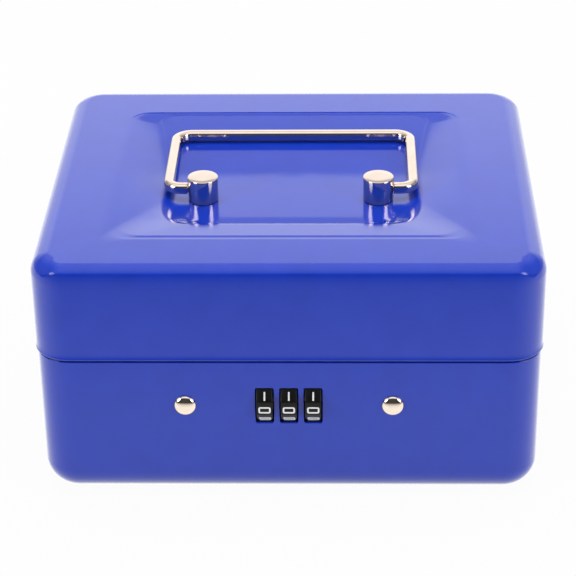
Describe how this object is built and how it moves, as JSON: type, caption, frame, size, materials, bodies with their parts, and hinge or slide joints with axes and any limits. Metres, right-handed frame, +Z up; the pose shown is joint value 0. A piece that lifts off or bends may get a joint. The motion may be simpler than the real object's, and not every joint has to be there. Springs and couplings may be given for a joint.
{
  "type": "combination lock box",
  "caption": "Small blue steel lock box with a hinged lid, a folding wire handle in a recess and a dial combination lock, for keeping medicines.",
  "frame": {"origin": "centre of the flat underside, where the box rests", "axes": "+X to the right of someone who faces the dials, +Y to the hinges at the back, +Z up"},
  "size_m": [0.152, 0.1372, 0.0843],
  "materials": {
    "blue_paint": "glossy powder coat with a slight orange-peel texture",
    "chrome": "bright plate",
    "zinc_steel": "zinc plated",
    "black_plastic": "glossy, with white figures",
    "brass": "turned",
    "spring_steel": "bright drawn wire and strip",
    "red_plastic": "moulded"
  },
  "bodies": {
    "case": {"body_shell": "blue_paint", "hinge_body_leaf_left": "blue_paint", "hinge_body_leaf_right": "blue_paint", "hinge_pin_left": "zinc_steel", "hinge_pin_right": "zinc_steel", "lock_case": "zinc_steel", "lock_cover": "zinc_steel", "cover_screw_1": "zinc_steel", "cover_screw_2": "zinc_steel", "cover_screw_3": "zinc_steel", "cover_screw_4": "zinc_steel", "detent_spring": "spring_steel", "front_rivet_left": "chrome", "front_rivet_right": "chrome"},
    "lid": {"lid_shell": "blue_paint", "hinge_lid_leaf_left": "blue_paint", "hinge_lid_leaf_right": "blue_paint", "lid_strike": "zinc_steel", "handle_post_left": "chrome", "handle_post_right": "chrome", "post_washer_left": "zinc_steel", "post_washer_right": "zinc_steel", "post_nut_left": "zinc_steel", "post_nut_right": "zinc_steel"},
    "handle": {"handle_bail": "chrome"},
    "dial_left": {"dial_1": "black_plastic", "dial_sleeve_1": "brass"},
    "dial_middle": {"dial_2": "black_plastic", "dial_sleeve_2": "brass"},
    "dial_right": {"dial_3": "black_plastic", "dial_sleeve_3": "brass"},
    "bolt": {"bolt_rod": "zinc_steel", "bolt_plate": "zinc_steel", "bolt_spring": "spring_steel"},
    "lever": {"reset_lever": "red_plastic"}
  },
  "joints": [
    {"name": "lid_hinge", "type": "hinge", "parent": "case", "child": "lid", "pos_m": [0, 0.0675, 0.0483], "axis": [-1, 0, 0], "range_deg": [0, 110]},
    {"name": "handle_pivot", "type": "hinge", "parent": "lid", "child": "handle", "pos_m": [0, -0.0142, 0.0803], "axis": [1, 0, 0], "range_deg": [0, 179]},
    {"name": "dial_left_turn", "type": "hinge", "parent": "case", "child": "dial_left", "pos_m": [-0.00728, -0.05945, 0.0327], "axis": [1, 0, 0], "continuous": true},
    {"name": "dial_middle_turn", "type": "hinge", "parent": "case", "child": "dial_middle", "pos_m": [0, -0.05945, 0.0327], "axis": [1, 0, 0], "continuous": true},
    {"name": "dial_right_turn", "type": "hinge", "parent": "case", "child": "dial_right", "pos_m": [0.00728, -0.05945, 0.0327], "axis": [1, 0, 0], "continuous": true},
    {"name": "bolt_slide", "type": "slide", "parent": "case", "child": "bolt", "axis": [1, 0, 0], "range_m": [0, 0.0044], "deforming": ["bolt_spring"]},
    {"name": "lever_slide", "type": "slide", "parent": "case", "child": "lever", "axis": [1, 0, 0], "range_m": [0, 0.004]}
  ]
}
